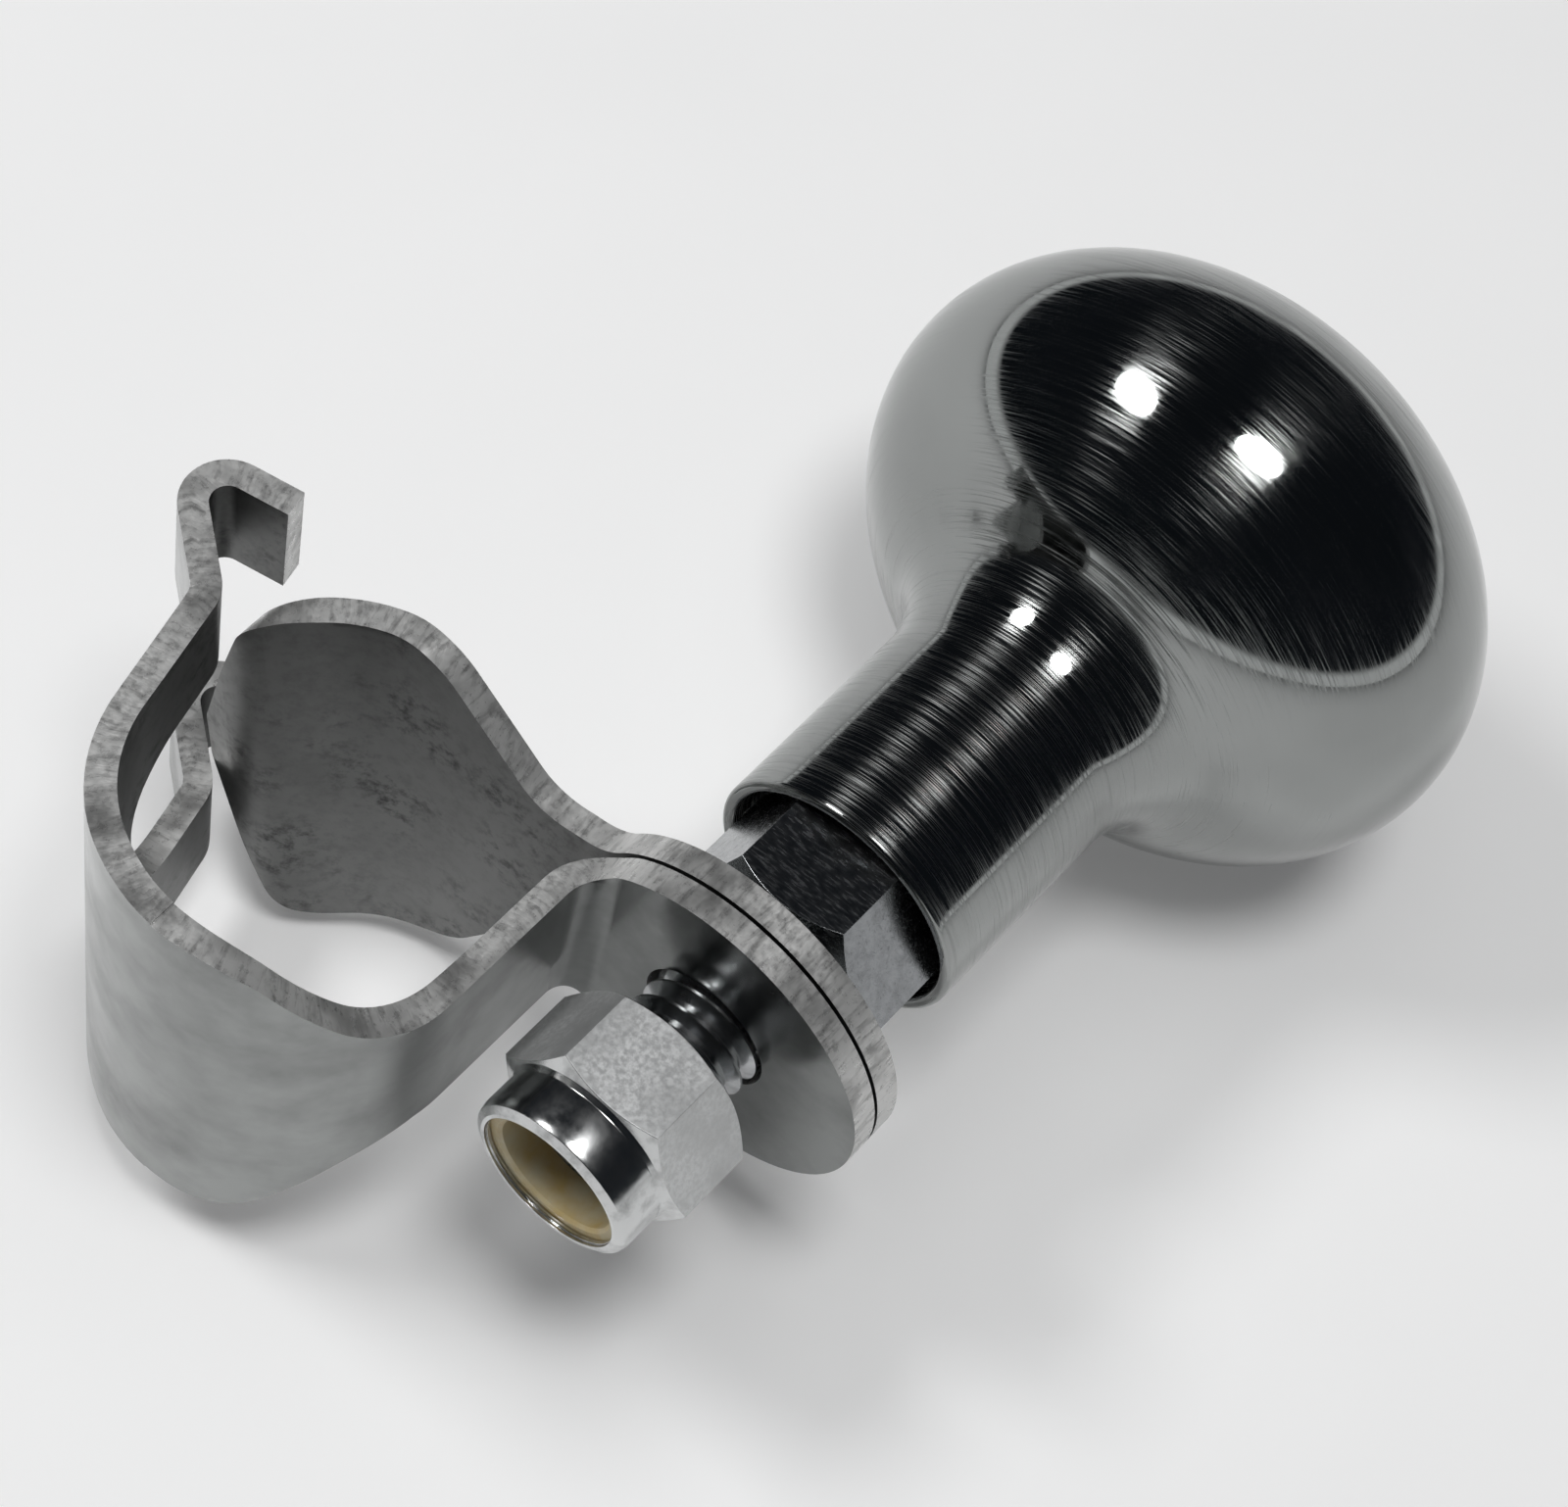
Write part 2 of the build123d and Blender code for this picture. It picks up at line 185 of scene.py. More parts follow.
# ---------------------------------------------------------------- materials
class Finish:
    """A procedural metal or plastic, wired up step by step."""

    def __init__(self, name, colour, metallic=1.0, roughness=0.2):
        self.material = bpy.data.materials.new(name)
        self.material.use_nodes = True
        self.tree = self.material.node_tree
        self.shader = self.tree.nodes["Principled BSDF"]
        self.shader.inputs["Base Color"].default_value = (*colour, 1)
        self.shader.inputs["Metallic"].default_value = metallic
        self.shader.inputs["Roughness"].default_value = roughness
        coordinates = self.tree.nodes.new("ShaderNodeTexCoord")
        self.place = coordinates.outputs["Object"]

    def node(self, kind, **settings):
        made = self.tree.nodes.new(kind)
        for key, value in settings.items():
            setattr(made, key, value)
        return made

    def link(self, source, target):
        self.tree.links.new(source, target)

    def stretched(self, scale, turn=(0, 0, 0), source=None):
        """The piece's own coordinates, stretched and turned."""
        mapping = self.node("ShaderNodeMapping")
        mapping.inputs["Scale"].default_value = scale
        mapping.inputs["Rotation"].default_value = turn
        self.link(source or self.place, mapping.inputs["Vector"])
        return mapping.outputs["Vector"]

    def noise(self, vector, scale=1.0, detail=3.0, roughness=0.5, distortion=0.0):
        texture = self.node("ShaderNodeTexNoise")
        texture.inputs["Scale"].default_value = scale
        texture.inputs["Detail"].default_value = detail
        texture.inputs["Roughness"].default_value = roughness
        texture.inputs["Distortion"].default_value = distortion
        self.link(vector, texture.inputs["Vector"])
        return texture.outputs["Fac"]

    def span(self, value, low, high, to_low, to_high):
        """Map a span of a value onto another, without running past it."""
        ranged = self.node("ShaderNodeMapRange")
        for socket, number in zip(("From Min", "From Max", "To Min", "To Max"),
                                  (low, high, to_low, to_high)):
            ranged.inputs[socket].default_value = number
        self.link(value, ranged.inputs["Value"])
        return ranged.outputs["Result"]

    def math(self, operation, a, b):
        made = self.node("ShaderNodeMath", operation=operation)
        for socket, value in zip(made.inputs, (a, b)):
            if isinstance(value, (int, float)):
                socket.default_value = value
            else:
                self.link(value, socket)
        return made.outputs["Value"]

    def blend(self, amount, first, second):
        """Mix two colours; each is a colour triple or a node's output."""
        mix = self.node("ShaderNodeMix", data_type="RGBA")
        self.link(amount, mix.inputs["Factor"])
        for socket, value in (("A", first), ("B", second)):
            target = [s for s in mix.inputs if s.name == socket and s.type == "RGBA"][0]
            if isinstance(value, tuple):
                target.default_value = (*value, 1)
            else:
                self.link(value, target)
        return [s for s in mix.outputs if s.type == "RGBA"][0]

    def colour(self, source):
        self.link(source, self.shader.inputs["Base Color"])

    def roughness(self, source):
        self.link(source, self.shader.inputs["Roughness"])

    def bump(self, height, distance, strength):
        """Add relief; a later call adds to an earlier one."""
        made = self.node("ShaderNodeBump")
        made.inputs["Strength"].default_value = strength
        made.inputs["Distance"].default_value = distance
        self.link(height, made.inputs["Height"])
        normal = self.shader.inputs["Normal"]
        if normal.is_linked:
            self.link(normal.links[0].from_socket, made.inputs["Normal"])
        self.link(made.outputs["Normal"], normal)

    def brush_round_axis(self, strength):
        """Stretch reflections across brush lines that run round the bolt axis."""
        self.shader.inputs["Anisotropic"].default_value = strength
        self.shader.inputs["Anisotropic Rotation"].default_value = 0.25
        split = self.node("ShaderNodeSeparateXYZ")
        self.link(self.place, split.inputs["Vector"])
        ring = self.node("ShaderNodeCombineXYZ")
        self.link(self.math("MULTIPLY", split.outputs["Z"], -1), ring.inputs["Y"])
        self.link(self.math("SUBTRACT", split.outputs["Y"], BOLT_Y), ring.inputs["Z"])
        turn = self.node("ShaderNodeVectorTransform", vector_type="VECTOR",
                         convert_from="OBJECT", convert_to="WORLD")
        self.link(ring.outputs["Vector"], turn.inputs["Vector"])
        self.link(turn.outputs["Vector"], self.shader.inputs["Tangent"])

    def stretch_run(self, name, across):
        """Coordinates that run along a piece's own attribute."""
        attribute = self.node("ShaderNodeAttribute", attribute_name=name)
        join = self.node("ShaderNodeCombineXYZ")
        self.link(attribute.outputs["Fac"], join.inputs["X"])
        split = self.node("ShaderNodeSeparateXYZ")
        self.link(self.stretched((across, across, across)), split.inputs["Vector"])
        self.link(split.outputs["X"], join.inputs["Y"])
        self.link(split.outputs["Y"], join.inputs["Z"])
        return join.outputs["Vector"]


def polished_steel(name, colour, roughness):
    """Mirror polish with faint turning lines, hairline scratches and finger smudges."""
    finish = Finish(name, colour)
    finish.brush_round_axis(0.95)
    lines = finish.noise(finish.stretched((17000, 160, 160)), detail=2, roughness=0.6)
    rings = finish.noise(finish.stretched((4200, 90, 90)), detail=3)
    finish.bump(rings, 1.2e-6, 0.2)
    scratches = finish.noise(finish.stretched((900, 5200, 240), (0.5, 0.2, 0.9)), detail=2)
    finish.bump(finish.span(scratches, 0.68, 0.76, 0, 1), 1.5e-6, 0.25)
    smudge = finish.noise(finish.place, 95, detail=4, roughness=0.6)
    clean = finish.span(smudge, 0.40, 0.70, roughness, roughness + 0.05)
    along = finish.node("ShaderNodeSeparateXYZ")
    finish.link(finish.place, along.inputs["Vector"])
    neck = finish.span(along.outputs["X"], 0.046, 0.055, 1.2, 0.62)
    brushed = finish.math("MULTIPLY", finish.span(lines, 0.46, 0.66, 0, 0.32), neck)
    finish.roughness(finish.math("ADD", clean, brushed))
    haze = finish.noise(finish.place, 60, detail=3)
    dull = tuple(0.88 * c for c in colour)
    finish.colour(finish.blend(finish.span(haze, 0.45, 0.7, 0, 1), colour, dull))
    return finish.material


def strap_outside_steel(name, colour):
    """Satin sheet with fine polishing lines and a few darker blooms."""
    finish = Finish(name, colour)
    bloom = finish.noise(finish.place, 130, detail=5, roughness=0.6)
    dark = tuple(0.62 * c for c in colour)
    finish.colour(finish.blend(finish.span(bloom, 0.38, 0.72, 0, 1), colour, dark))
    finish.roughness(finish.span(bloom, 0.35, 0.70, 0.15, 0.28))
    lines = finish.noise(finish.stretched((420, 420, 4200)), detail=3)
    finish.bump(lines, 4e-6, 0.35)
    ripple = finish.noise(finish.place, 160, detail=1)
    finish.bump(ripple, 5e-5, 0.22)
    return finish.material


def strap_inside_steel_with_shade(name, colour):
    """Dull mill face with clouded patches and small dark stains; its dark base colour is partly
    a duller mill finish and partly painted shade on the inner faces.
    """
    finish = Finish(name, colour)
    cloud = finish.noise(finish.place, 105, detail=6, roughness=0.65)
    light = tuple(min(1.0, 1.45 * c) for c in colour)
    base = finish.blend(finish.span(cloud, 0.35, 0.68, 0, 1), colour, light)
    speck = finish.noise(finish.place, 900, detail=5, roughness=0.7)
    patch = finish.noise(finish.place, 150, detail=2)
    stain = finish.math("MULTIPLY", finish.span(speck, 0.46, 0.66, 0, 1),
                        finish.span(patch, 0.45, 0.62, 0.25, 1))
    dark = tuple(0.42 * c for c in colour)
    finish.colour(finish.blend(stain, base, dark))
    finish.roughness(finish.span(cloud, 0.3, 0.7, 0.36, 0.50))
    grain = finish.noise(finish.place, 2600, detail=3)
    finish.bump(grain, 6e-6, 0.35)
    return finish.material


def strap_edge_steel(name, colour):
    """Sheared edge: bright, with rough lines running through the sheet's thickness."""
    finish = Finish(name, colour, metallic=0.55)
    along = finish.stretch_run("edge_run", 0.16)
    rows = finish.noise(finish.stretched((2300, 2300, 2300), source=along), detail=4,
                        roughness=0.65, distortion=0.4)
    tear = finish.noise(finish.place, 1500, detail=4, roughness=0.6)
    mixed = finish.math("ADD", finish.math("MULTIPLY", rows, 0.7),
                        finish.math("MULTIPLY", tear, 0.3))
    dark = tuple(0.5 * c for c in colour)
    sheared = finish.blend(finish.span(mixed, 0.36, 0.52, 0, 1), dark, colour)
    zone = finish.noise(finish.place, 190, detail=3, roughness=0.6)
    deep = tuple(0.28 * c for c in colour)
    finish.colour(finish.blend(finish.span(zone, 0.46, 0.66, 0, 0.85), sheared, deep))
    finish.roughness(finish.span(tear, 0.35, 0.65, 0.24, 0.42))
    finish.bump(mixed, 1.0e-4, 0.4)
    return finish.material


def turned_steel(name, colour, roughness, lines=3800):
    """Lathe-turned steel, its fine rings round the bolt axis."""
    finish = Finish(name, colour)
    rings = finish.noise(finish.stretched((lines, 120, 120)), detail=3)
    finish.bump(rings, 3e-6, 0.35)
    marks = finish.noise(finish.place, 700, detail=4, roughness=0.6)
    dark = tuple(0.6 * c for c in colour)
    finish.colour(finish.blend(finish.span(marks, 0.45, 0.72, 0, 1), colour, dark))
    finish.roughness(finish.span(marks, 0.3, 0.7, roughness, roughness + 0.14))
    return finish.material


def grainy_steel(name, colour):
    """Drawn hexagon flats: bright, with a fine orange-peel grain."""
    finish = Finish(name, colour, metallic=0.6)
    grain = finish.noise(finish.place, 2600, detail=5, roughness=0.62)
    finish.bump(grain, 1.2e-5, 0.3)
    wear = finish.noise(finish.place, 260, detail=4)
    dark = tuple(0.66 * c for c in colour)
    worn = finish.blend(finish.span(wear, 0.42, 0.72, 0, 1), colour, dark)
    finish.colour(finish.blend(finish.span(grain, 0.40, 0.62, 0.7, 0), worn, dark))
    finish.roughness(finish.span(grain, 0.3, 0.7, 0.32, 0.48))
    return finish.material


def scratched_steel(name, colour):
    """Smooth dark-looking flats crossed by fine random scratches."""
    finish = Finish(name, colour)
    fine = finish.noise(finish.stretched((5200, 900, 5200), (0.4, 0.7, 0.3)), detail=3)
    cross = finish.noise(finish.stretched((900, 5600, 1600), (0.9, 0.1, 0.5)), detail=3)
    finish.bump(finish.span(fine, 0.60, 0.72, 0, 1), 1.5e-6, 0.4)
    finish.bump(finish.span(cross, 0.60, 0.72, 0, 1), 1.5e-6, 0.4)
    cloud = finish.noise(finish.place, 900, detail=5, roughness=0.65)
    dark = tuple(0.75 * c for c in colour)
    finish.colour(finish.blend(finish.span(cloud, 0.4, 0.7, 0, 1), colour, dark))
    clean = finish.span(cloud, 0.35, 0.7, 0.16, 0.24)
    finish.roughness(finish.math("ADD", clean, finish.span(fine, 0.45, 0.75, 0, 0.16)))
    return finish.material


def bearing_bronze(name, colour):
    """Porous sintered bronze."""
    finish = Finish(name, colour, roughness=0.38)
    pores = finish.noise(finish.place, 2400, detail=3)
    dark = tuple(0.5 * c for c in colour)
    finish.colour(finish.blend(finish.span(pores, 0.5, 0.72, 0, 1), colour, dark))
    finish.bump(pores, 2e-5, 0.4)
    return finish.material


def aged_nylon(name, colour):
    """Natural nylon gone amber, with a soft sheen."""
    finish = Finish(name, colour, metallic=0.0, roughness=0.42)
    finish.shader.inputs["Subsurface Weight"].default_value = 0.15
    finish.shader.inputs["Subsurface Radius"].default_value = (0.0012, 0.0008, 0.0004)
    cloud = finish.noise(finish.place, 420, detail=4)
    amber = (0.9 * colour[0], 0.74 * colour[1], 0.45 * colour[2])
    finish.colour(finish.blend(finish.span(cloud, 0.35, 0.68, 0, 1), colour, amber))
    finish.bump(cloud, 3e-5, 0.25)
    return finish.material


def stage_white(name, colour, glow):
    """Pale matt table with a barely visible texture."""
    finish = Finish(name, colour, metallic=0.0, roughness=0.9)
    finish.shader.inputs["Specular IOR Level"].default_value = 0.0
    finish.shader.inputs["Emission Color"].default_value = (1, 1, 1, 1)
    finish.shader.inputs["Emission Strength"].default_value = glow
    weave = finish.noise(finish.place, 40, detail=3)
    shade = tuple(0.985 * c for c in colour)
    finish.colour(finish.blend(finish.span(weave, 0.3, 0.7, 0, 1), colour, shade))
    return finish.material


# ---------------------------------------------------------------- settings
def length(name, description, default):
    return FloatProperty(name=name, description=description, default=default * MM, min=0,
                         subtype="DISTANCE", unit="LENGTH", precision=5)


def steel(name, description, default):
    return FloatVectorProperty(name=name, description=description, default=default, size=3,
                               min=0, max=1, subtype="COLOR")


class KnobSettings(bpy.types.PropertyGroup):
    ball_radius: length("Ball radius", "Largest radius of the ball", 25.4)
    ball_plane: length("Ball plane", "Where the largest radius is, along the axis", 67.0)
    ball_below: length("Half height below", "Ball's half height towards the neck", 18.0)
    ball_above: length("Half height above", "Ball's half height towards the crown", 17.7)
    neck_radius: length("Neck radius", "Outside radius of the neck", 10.35)
    neck_wall: length("Neck wall", "Thickness of the neck's wall", 1.0)
    neck_rim: length("Neck rim", "Where the neck's open rim is, along the axis", 27.5)
    neck_fillet: length("Neck fillet", "Round between the neck and the ball", 8.0)
    rim_round: length("Rim round", "Round of the neck's rim", 0.4)
    segments: IntProperty(name="Segments", description="Steps round the knob", default=160,
                          min=24, max=400)
    colour: steel("Steel", "Colour of the polished steel", (0.31, 0.32, 0.315))
    roughness: FloatProperty(name="Roughness", description="Roughness of the clean polish",
                             default=0.035, min=0, max=1, subtype="FACTOR")


class StrapSettings(bpy.types.PropertyGroup):
    edge_round: length("Outer edge round", "Round asked for; the bevel reaches far less", 0.75)
    inner_round: length("Inner edge round", "Round asked for; the bevel reaches far less", 0.22)
    outside: steel("Outside", "Colour of the polished outer faces", (0.27, 0.28, 0.275))
    # Inside colour is far darker than the outside's: partly a duller mill finish, partly painted
    # shade on the inner faces.
    inside: steel("Inside", "Colour of the inner faces: mill finish and painted shade", (0.135, 0.137, 0.135))
    cut: steel("Cut edge", "Colour of the sheared edges", (0.62, 0.62, 0.61))


class SpindleSettings(bpy.types.PropertyGroup):
    stud_radius: length("Stud radius", "Outside radius of the thread", 4.7625)
    pitch: length("Pitch", "Distance between two threads", 1.5875)
    thread_depth: length("Thread depth", "Depth of the thread", 0.92)
    stud_end: length("Stud end", "Where the stud ends, along the axis", 3.2)
    thread_end: length("Thread end", "Where the thread runs out, along the axis", 20.4)
    hex_edge: length("Hexagon edge", "Break of the hexagon's edges", 0.16)
    thread_colour: steel("Thread", "Colour of the thread", (0.45, 0.46, 0.47))
    hex_colour: steel("Hexagon", "Colour of the hexagon", (0.31, 0.32, 0.33))


class NutSettings(bpy.types.PropertyGroup):
    edge: length("Edge break", "Break of the nut's edges", 0.14)
    colour: steel("Steel", "Colour of the nut", (0.66, 0.67, 0.67))
    nylon: steel("Nylon", "Colour of the nylon insert", (0.56, 0.51, 0.36))


class StageSettings(bpy.types.PropertyGroup):
    table: steel("Table", "Colour of the table", (0.86, 0.86, 0.86))
    glow: FloatProperty(name="Table glow", description="Even light that the table gives",
                        default=0.12, min=0, max=2)
    key: FloatProperty(name="Key lights", description="Power of the two soft boxes",
                       default=3.0, min=0, max=50, unit="POWER")
    fill: FloatProperty(name="Fill light", description="Power of the wide light overhead",
                        default=2.7, min=0, max=100, unit="POWER")
    focal: FloatProperty(name="Focal length", description="Camera's focal length in millimetres",
                         default=90.0, min=20, max=300)


# ---------------------------------------------------------------- knob
def knob_outline(settings):
    """Outer line of the knob as (x, radius), from the neck's rim to the crown."""
    centre, wide = settings.ball_plane, settings.ball_radius
    low, high = settings.ball_below, settings.ball_above
    neck, fillet = settings.neck_radius, settings.neck_fillet

    def on_ball(t):
        half = low if t < pi / 2 else high
        return Vector((centre - half * cos(t), wide * sin(t)))

    def outward(t):
        half = low if t < pi / 2 else high
        return Vector((-cos(t) / half, sin(t) / wide)).normalized()

    near, far = 0.1, 1.2  # halved until the fillet touches both the neck and the ball
    for _ in range(40):
        t = (near + far) / 2
        if on_ball(t).y + fillet * outward(t).y > neck + fillet:
            far = t
        else:
            near = t
    middle = on_ball(t) + fillet * outward(t)
    swing = atan2(-outward(t).x, outward(t).y)
    line = []
    for k in range(FILLET_STEPS + 1):
        a = swing * k / FILLET_STEPS
        line.append((middle.x + fillet * sin(a), middle.y - fillet * cos(a)))
    for k in range(1, BALL_STEPS + 1):
        point = on_ball(t + (pi - t) * k / BALL_STEPS)
        line.append((point.x, max(point.y, 0)))
    return line


def build_knob(settings):
    """The hollow knob: one closed outline, turned about the bolt axis."""
    rim, wall = settings.neck_rim, settings.neck_wall
    neck, lip = settings.neck_radius, settings.rim_round
    outer = knob_outline(settings)
    line = [(x, r) for x, r in reversed(outer)]
    neck_top = outer[0][0]
    for k in range(1, NECK_STEPS):
        line.append((neck_top + (rim + lip - neck_top) * k / NECK_STEPS, neck))
    for k in range(LIP_STEPS + 1):
        a = pi / 2 * k / LIP_STEPS
        line.append((rim + lip - lip * sin(a), neck - lip + lip * cos(a)))
    inner = neck - wall
    for k in range(LIP_STEPS + 1):
        a = pi / 2 * k / LIP_STEPS
        line.append((rim + lip - lip * cos(a), inner + lip - lip * sin(a)))
    line.append((rim + BORE_LENGTH, inner))
    shrink = 1 - BALL_WALL / settings.ball_radius
    for x, r in outer[INNER_BALL_START:]:
        line.append((settings.ball_plane + (x - settings.ball_plane) * shrink, r * shrink))
    bm = bmesh.new()
    revolve(bm, line, settings.segments)
    bmesh.ops.recalc_face_normals(bm, faces=bm.faces)
    material = polished_steel("Polished steel", tuple(settings.colour), settings.roughness)
    piece = to_object(bm, "knob", [material])
    set_ride(piece, "knob", "polished_stainless", "knob_shell")


# ---------------------------------------------------------------- straps
def middle_line(start, moves):
    """Samples along a strap's middle: place, left-hand direction and distance run."""
    x, y, a, run = start[0], start[1], pi / 2, 0.0
    samples = []
    for distance, turn in moves:
        count = max(1, round(distance / SAMPLE_STEP))
        for _ in range(count):
            samples.append((Vector((x, y)), Vector((-sin(a), cos(a))), run))
            a += radians(turn) / count / 2
            x += distance / count * cos(a)
            y += distance / count * sin(a)
            a += radians(turn) / count / 2
            run += distance / count
    samples.append((Vector((x, y)), Vector((-sin(a), cos(a))), run))
    return samples


def build_strap(node, body, start, moves, tilt, outside_left, settings, materials):
    """A strap from its CAD solid: faces sorted into outside, inside and cut edge."""
    bm = merged_copy(node)
    pivot = Matrix.Translation((0, BOLT_Y, 0)) @ Matrix.Rotation(tilt, 4, "X")
    straight = (pivot @ Matrix.Translation((0, -BOLT_Y, 0))).inverted()
    samples = middle_line(start, moves)
    for step in range(-STRIPS_EACH_WAY, STRIPS_EACH_WAY + 1):
        bmesh.ops.bisect_plane(
            bm, geom=bm.verts[:] + bm.edges[:] + bm.faces[:], dist=1e-7,
            plane_co=pivot @ Vector((0, 0, step * STRIP)),
            plane_no=pivot.to_3x3() @ Vector((0, 0, 1)))

    def nearest(point):
        flat = Vector((point.x, point.y))
        return min(samples, key=lambda s: (s[0] - flat).length_squared)

    run_layer = bm.verts.layers.float.new("edge_run")
    for vert in bm.verts:
        place = straight @ vert.co
        near = nearest(place)
        if place.y < BOLT_Y + EAR_TOP and abs(place.x - start[0]) < EAR_DEPTH:
            vert[run_layer] = EAR_R * atan2(abs(place.z), place.y - BOLT_Y)
        else:
            vert[run_layer] = near[2]
    turned = straight.to_3x3()
    for face in bm.faces:
        normal = turned @ face.normal
        near = nearest(straight @ face.calc_center_median())
        lean = normal.x * near[1].x + normal.y * near[1].y
        if abs(lean) < BROAD:
            face.material_index = CUT
        else:
            face.material_index = OUTSIDE if (lean > 0) == outside_left else INSIDE
    weights = bm.edges.layers.float.new("bevel_weight_edge")
    inner = settings.inner_round / settings.edge_round
    for edge in bm.edges:
        kinds = {face.material_index for face in edge.link_faces}
        if kinds == {OUTSIDE, CUT}:
            edge[weights] = 1.0
        elif kinds == {INSIDE, CUT} or (kinds == {CUT} and edge.calc_face_angle(0) > CUT_CORNER):
            edge[weights] = inner
    piece = to_object(bm, node + "_sheet", materials)
    round_edges(piece, settings.edge_round, 4)
    even = piece.modifiers.new("Even shading", "WEIGHTED_NORMAL")
    even.mode = "FACE_AREA"
    even.use_face_influence = True
    set_ride(piece, body, "strap_stainless", node)


# ---------------------------------------------------------------- spindle
def add_thread(bm, settings):
    """Right-hand helical thread with a chamfered end."""
    pitch, depth, crest_r = settings.pitch, settings.thread_depth, settings.stud_radius
    root_r = crest_r - depth
    crest, root = pitch / 8, pitch / 4
    flank = (pitch - crest - root) / 2
    start, stop = settings.stud_end, settings.thread_end
    turns = int((stop - start) / pitch) + 2
    x = start - pitch
    outline = [(x, crest_r), (x + crest, crest_r), (x + crest + flank / 2, crest_r - depth / 2),
               (x + crest + flank, root_r), (x + crest + flank + root, root_r),
               (x + pitch - flank / 2, crest_r - depth / 2), (x + pitch, crest_r)]
    verts = [bm.verts.new((px, BOLT_Y + r, 0)) for px, r in outline]
    edges = [bm.edges.new(pair) for pair in zip(verts, verts[1:])]
    bmesh.ops.spin(
        bm, geom=verts + edges, cent=(0, BOLT_Y, 0), axis=(1, 0, 0),
        dvec=(pitch / THREAD_STEPS, 0, 0), angle=tau * turns, steps=THREAD_STEPS * turns)
    bmesh.ops.remove_doubles(bm, verts=bm.verts, dist=SPIN_MERGE)
    for place, clear in ((start, -1), (stop, 1)):
        cut = bmesh.ops.bisect_plane(
            bm, geom=bm.verts[:] + bm.edges[:] + bm.faces[:], plane_co=(place, 0, 0),
            plane_no=(clear, 0, 0), clear_outer=True)
        rim = [e for e in cut["geom_cut"] if isinstance(e, bmesh.types.BMEdge)]
        bmesh.ops.holes_fill(bm, edges=rim)
    for vert in bm.verts:
        spoke = Vector((0, vert.co.y - BOLT_Y, vert.co.z))
        allowed = root_r + (vert.co.x - start)
        if spoke.length > allowed:
            spoke *= allowed / spoke.length
            vert.co = Vector((vert.co.x, BOLT_Y + spoke.y, spoke.z))


def build_spindle(settings):
    """The CAD hexagon with its stud cut off, and a helical stud in its place."""
    thread = bmesh.new()
    add_thread(thread, settings)
    bmesh.ops.recalc_face_normals(thread, faces=thread.faces)
    stud = bpy.data.meshes.new("stud")
    thread.to_mesh(stud)
    thread.free()

    bm = merged_copy("spindle")
    cut = bmesh.ops.bisect_plane(
        bm, geom=bm.verts[:] + bm.edges[:] + bm.faces[:],
        plane_co=(settings.thread_end, 0, 0), plane_no=(-1, 0, 0), clear_outer=True)
    rim = [e for e in cut["geom_cut"] if isinstance(e, bmesh.types.BMEdge)]
    bmesh.ops.holes_fill(bm, edges=rim)
    body = to_object(bm, "spindle_hexagon", [])
    round_edges(body, settings.hex_edge, 2, BEVEL_ANGLE)
    set_ride(body, "spindle", "turned_stainless", "spindle")
    body.data.materials.append(scratched_steel("Scratched hexagon", tuple(settings.hex_colour)))
    stud.materials.append(turned_steel("Rolled thread", tuple(settings.thread_colour), 0.14))
    piece = bpy.data.objects.new("stud_thread", stud)
    bpy.context.scene.collection.objects.link(piece)
    smooth_by_angle(piece, THREAD_CREASE)
    set_ride(piece, "spindle", "turned_stainless")


def smooth_by_angle(piece, angle):
    """Smooth shading that keeps edges sharper than the angle crisp."""
    mesh = piece.data
    mesh.polygons.foreach_set("use_smooth", [True] * len(mesh.polygons))
    bm = bmesh.new()
    bm.from_mesh(mesh)
    for edge in bm.edges:
        edge.smooth = len(edge.link_faces) == 2 and edge.calc_face_angle(0) < radians(angle)
    bm.to_mesh(mesh)
    bm.free()


# ---------------------------------------------------------------- lock nut
def build_nut(settings):
    """The lock nut from its CAD solid, its flats told from its collar and bore."""
    bm = merged_copy("nut_body")
    for face in bm.faces:
        normal = face.normal
        flat = abs(normal.x) < NUT_FLAT_LEAN and face.calc_area() > NUT_FLAT_AREA
        spoke = Vector((0, face.calc_center_median().y - BOLT_Y,
                        face.calc_center_median().z)).length
        face.material_index = 0 if flat and spoke > NUT_FLAT_REACH else 1
    flats = grainy_steel("Nut flats", tuple(settings.colour))
    rest = turned_steel("Nut collar", tuple(0.9 * c for c in settings.colour), 0.12, 2600)
    piece = to_object(bm, "lock_nut", [flats, rest])
    round_edges(piece, settings.edge, 2, BEVEL_ANGLE)
    set_ride(piece, "nut", "nut_stainless", "nut_body")


def finish_node(node, material):
    """Give a CAD node its procedural finish."""
    shown = NODES[node]
    for slot in shown.material_slots:
        slot.material = material
    if not shown.material_slots:
        shown.data.materials.append(material)


# ---------------------------------------------------------------- stage
def add_area(name, place, aim, size, power):
    """An oval soft light at a place, turned to what it lights."""
    light = bpy.data.lights.new(name, "AREA")
    light.shape = "ELLIPSE"
    light.size, light.size_y = size
    light.energy = power
    lamp = bpy.data.objects.new(name, light)
    lamp.location = place
    lamp.rotation_euler = (Vector(aim) - Vector(place)).to_track_quat("-Z", "Y").to_euler()
    bpy.context.scene.collection.objects.link(lamp)
    return lamp


